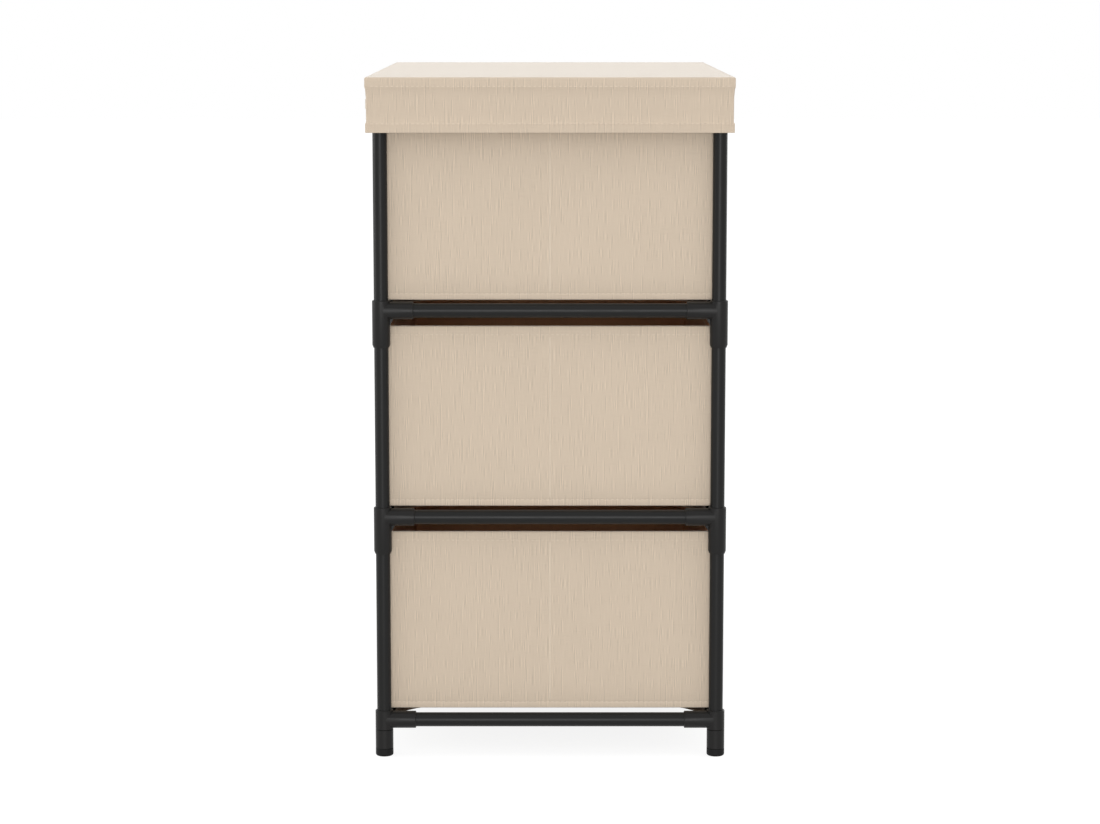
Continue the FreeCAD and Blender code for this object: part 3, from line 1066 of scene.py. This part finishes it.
# %% [markdown]
# ## The cover
# The cover is a fitted cap of the same linen: a flat panel with a band round the board's edge, a
# hanging skirt set back a little below the band's seam, and a doubled hem. The front is shorter, so
# that the top drawer clears it. One open box of cloth is cut at its seams, and the front's lower
# part is taken away.

# %% The cover's box and its cuts
COVER_EDGE = 1.4 * MM
BAND = 8.3 * MM
HEM = 8 * MM
CORNER_SEAM = 6 * MM
VALANCE_BOTTOM = 548 * MM
COVER_GRID = (12 * MM, 7 * MM)
cover_low, cover_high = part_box("cover_skirt")[0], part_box("cover_top")[1]
cover_seam = cover_high.z - BAND


def cover_heights(low):
    """Where the skirt is cut across: at its seams and hems, and evenly between."""
    hems = (low.z, VALANCE_BOTTOM)
    near = [n * MM for n in (-1.5, -0.9, -0.3, 0.3, 0.9)]
    heights = [cover_seam + n for n in near] + [hem + HEM + n for hem in hems for n in near]
    heights += [hem + n * MM for hem in hems for n in (0.3, 0.7)] + [VALANCE_BOTTOM]
    heights += spaced(low.z + HEM + 1 * MM, cover_seam - 2 * MM, COVER_GRID[1])
    return sorted(set(round(z, 6) for z in heights))


def cover_sheet(low, high):
    """The cap as a flat-sided open box, cut where it will be shaped."""
    bm = block(low, high)
    below = [face for face in bm.faces if face.normal.z < -0.5]
    bmesh.ops.delete(bm, geom=below, context="FACES")
    round_edges(bm, [edge for edge in bm.edges if not edge.is_boundary], COVER_EDGE)
    cut_across(bm, 2, cover_heights(low))
    for axis in (0, 1):
        corner = high[axis] - CORNER_SEAM
        cut_across(bm, axis, spaced(low[axis], high[axis], COVER_GRID[0])
                   + [side * corner + n for side in (-1, 1) for n in (-0.7 * MM, 0, 0.7 * MM)])
    middles = [(face, face.calc_center_median()) for face in bm.faces]
    front = [face for face, middle in middles
             if middle.y < low.y + 0.05 * MM and middle.z < VALANCE_BOTTOM]
    bmesh.ops.delete(bm, geom=front, context="FACES")
    return bm


print("cover height cuts:", len(cover_heights(cover_low)))

# %% [markdown]
# ### How the skirt hangs
# Below the band no board fills the cloth, so it is set back, and the doubled hem stands out again.
# The corner seams dent it, and a ripple grows towards the hem, where cloth hangs most freely.

# %% Cover cloth
COVER_CLOTH = 0.9 * MM
SKIRT_INSET = 1.1 * MM
HEM_INSET = 0.3 * MM
SKIRT_RIPPLE = 0.35 * MM
RIPPLES_ALONG, RIPPLES_DOWN = 9, 5
CORNER_DENT, CORNER_WIDTH = 0.2 * MM, 0.6 * MM
UNDER_BAND, AT_HEM, SEWN_FROM = (-0.8 * MM, 3.6 * MM), (-0.9 * MM, 0.9 * MM), (2 * MM, 5 * MM)
WALL_DEPTH = 1.5 * MM
OUTER_FACE = 0.02 * MM


def eased(value, start, end):
    """0 before start and 1 after end, with a soft change between."""
    share = min(1, max(0, (value - start) / (end - start)))
    return share * share * (3 - 2 * share)


def shape_skirt(vert, low, high):
    """Sets a point of the skirt back, and adds the corner seams and the hang."""
    x, y, z = vert.co
    below_seam = cover_seam - z
    at_front = y < low.y + WALL_DEPTH and abs(x) < high.x - WALL_DEPTH
    hem_top = (VALANCE_BOTTOM if at_front else low.z) + HEM
    above_hem = eased(z - hem_top, *AT_HEM)
    set_back = eased(below_seam, *UNDER_BAND) * (
        HEM_INSET + (SKIRT_INSET - HEM_INSET) * above_hem)
    drop = max(0, below_seam) / (cover_seam - low.z)
    wave = noise.noise(Vector((x * RIPPLES_ALONG, y * RIPPLES_ALONG, z * RIPPLES_DOWN)))
    ripple = (0.5 + wave) * SKIRT_RIPPLE * drop
    for axis, value in enumerate((x, y)):
        if abs(value) < high[axis] - WALL_DEPTH:
            continue
        inward = set_back
        if abs(value) > high[axis] - OUTER_FACE:
            to_corner = high[1 - axis] - abs(vert.co[1 - axis])
            sewn = eased(below_seam, *SEWN_FROM)
            inward += ripple + CORNER_DENT * sewn * bell(to_corner - CORNER_SEAM, CORNER_WIDTH)
        vert.co[axis] -= math.copysign(inward, value)


bm = cover_sheet(cover_low, cover_high)
for vert in bm.verts:
    shape_skirt(vert, cover_low, cover_high)
cover = make_piece("fitted_cover", bm, "frame", "cover_linen", cover_linen, sharp_from=50)
thicken(cover, COVER_CLOTH, offset=-1)
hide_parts("cover_top", "cover_skirt")
print(cover.name, len(cover.data.polygons), "faces")

# %% [markdown]
# ### Sewing the cover
# Stitches run round below the band, and along the top of the hem, which is higher at the front.

# %% Cover stitches
COVER_MARGIN = 4 * MM
BAND_SINK, HEM_SINK = 0.12 * MM, 0.45 * MM
HEM_ROW = HEM - 0.6 * MM
AT_FRONT = ((1, -1),)
NOT_FRONT = ((0, -1), (0, 1), (1, 1))
seams = bmesh.new()
for height, sink, sides in ((cover_seam + 0.9 * MM, BAND_SINK, FOUR_SIDES),
                            (cover_low.z + HEM_ROW, HEM_SINK, NOT_FRONT),
                            (VALANCE_BOTTOM + HEM_ROW, HEM_SINK, AT_FRONT)):
    stitched_round(seams, cover_low, cover_high, height, sink, COVER_MARGIN, sides)
stitching = make_piece("cover_stitches", seams, "frame", "cover_linen", seam_thread)
print(stitching.name, len(stitching.data.polygons), "faces")

# %% [markdown]
# ## The studio floor
# To the eye the floor glows almost white, with a faint shadow of the dresser. The light that it
# throws back is that of plain grey paint, so the cloth keeps its written colour.

# %% Floor
FLOOR_HALF = 12
FLOOR_ROUGHNESS = 0.9
FLOOR_PALENESS = 0.42
DARKER_TO_THE_EYE = 0.16
FLOOR_GLOW = 0.86


def seen_directly(tree):
    """1 for rays from the camera, off glossy surfaces and through glass, 0 for other light."""
    path = tree.nodes.new("ShaderNodeLightPath")
    seen = path.outputs["Is Camera Ray"]
    for other in ("Is Glossy Ray", "Is Transmission Ray"):
        seen = math_node(tree, "MAXIMUM", seen, path.outputs[other])
    return seen


def white_to_the_eye(tree, lit, share):
    """Adds a glow that only the camera and reflections see."""
    glow = tree.nodes.new("ShaderNodeEmission")
    tree.links.new(math_node(tree, "MULTIPLY", seen_directly(tree), share),
                   glow.inputs["Strength"])
    both = tree.nodes.new("ShaderNodeAddShader")
    tree.links.new(lit, both.inputs[0])
    tree.links.new(glow.outputs[0], both.inputs[1])
    return both.outputs[0]


bm = bmesh.new()
bmesh.ops.create_grid(bm, x_segments=1, y_segments=1, size=FLOOR_HALF)
floor = placed("studio_floor", mesh_of("studio_floor", bm))
floor_paint, tree, shader = shader_of("pale_floor", FLOOR_ROUGHNESS, specular=0.0)
shade = math_node(tree, "MULTIPLY_ADD", seen_directly(tree), -DARKER_TO_THE_EYE, FLOOR_PALENESS)
paint = tree.nodes.new("ShaderNodeCombineColor")
for channel in paint.inputs:
    tree.links.new(shade, channel)
tree.links.new(paint.outputs[0], shader.inputs["Base Color"])
glowing = white_to_the_eye(tree, shader.outputs[0], FLOOR_GLOW)
tree.links.new(glowing, tree.nodes["Material Output"].inputs["Surface"])
floor.data.materials.append(floor_paint)
print("floor is", 2 * FLOOR_HALF, "m wide")

# %% [markdown]
# ## The surround and the lamps
# The surround is white for the camera and in reflections, and a little weaker as a lamp. A broad
# lamp overhead shapes the top. A low one behind the camera lights the side and draws the line of
# light down every tube, and a strip at eye height reaches into the gaps between the drawers. Two
# large soft ones fill the front and the back.

# %% World and lamps
SURROUND_LIGHT = 0.8
BRIGHTER_TO_THE_EYE = 0.2
# Name, place, height aimed at, the lamp's own width and height, and its power in watts
LAMPS = (("overhead", (0.3, 0, 2.6), 0.3, (2.4, 2.4), 6.5),
         ("behind_camera", (3.4, 0, 0.31), 0.3, (1.2, 0.58), 25.5),
         ("at_eye_height", (3.4, 0, 0.757), 0.28, (1.2, 0.115), 14),
         ("front_fill", (-0.2, -3.2, 0.85), 0.35, (1.5, 1.5), 30),
         ("back_fill", (-2.2, 2.4, 1.0), 0.35, (1.5, 1.5), 20))

world = bpy.data.worlds.new("white_surround")
scene.world = world
world.use_nodes = True
tree = world.node_tree
surround = tree.nodes["Background"]
surround.inputs["Color"].default_value = (1, 1, 1, 1)
tree.links.new(math_node(tree, "MULTIPLY_ADD", seen_directly(tree), BRIGHTER_TO_THE_EYE,
                         SURROUND_LIGHT), surround.inputs["Strength"])
for name, place, aim, size, power in LAMPS:
    lamp = bpy.data.lights.new(name, "AREA")
    lamp.shape = "RECTANGLE"
    lamp.size, lamp.size_y = size
    lamp.energy = power
    holder = placed(name, lamp)
    holder.location = place
    view = Z_AXIS * aim - Vector(place)
    holder.rotation_euler = view.to_track_quat("-Z", "Y").to_euler()
scene.view_settings.view_transform = "Standard"
print("lamps:", len(bpy.data.lights))
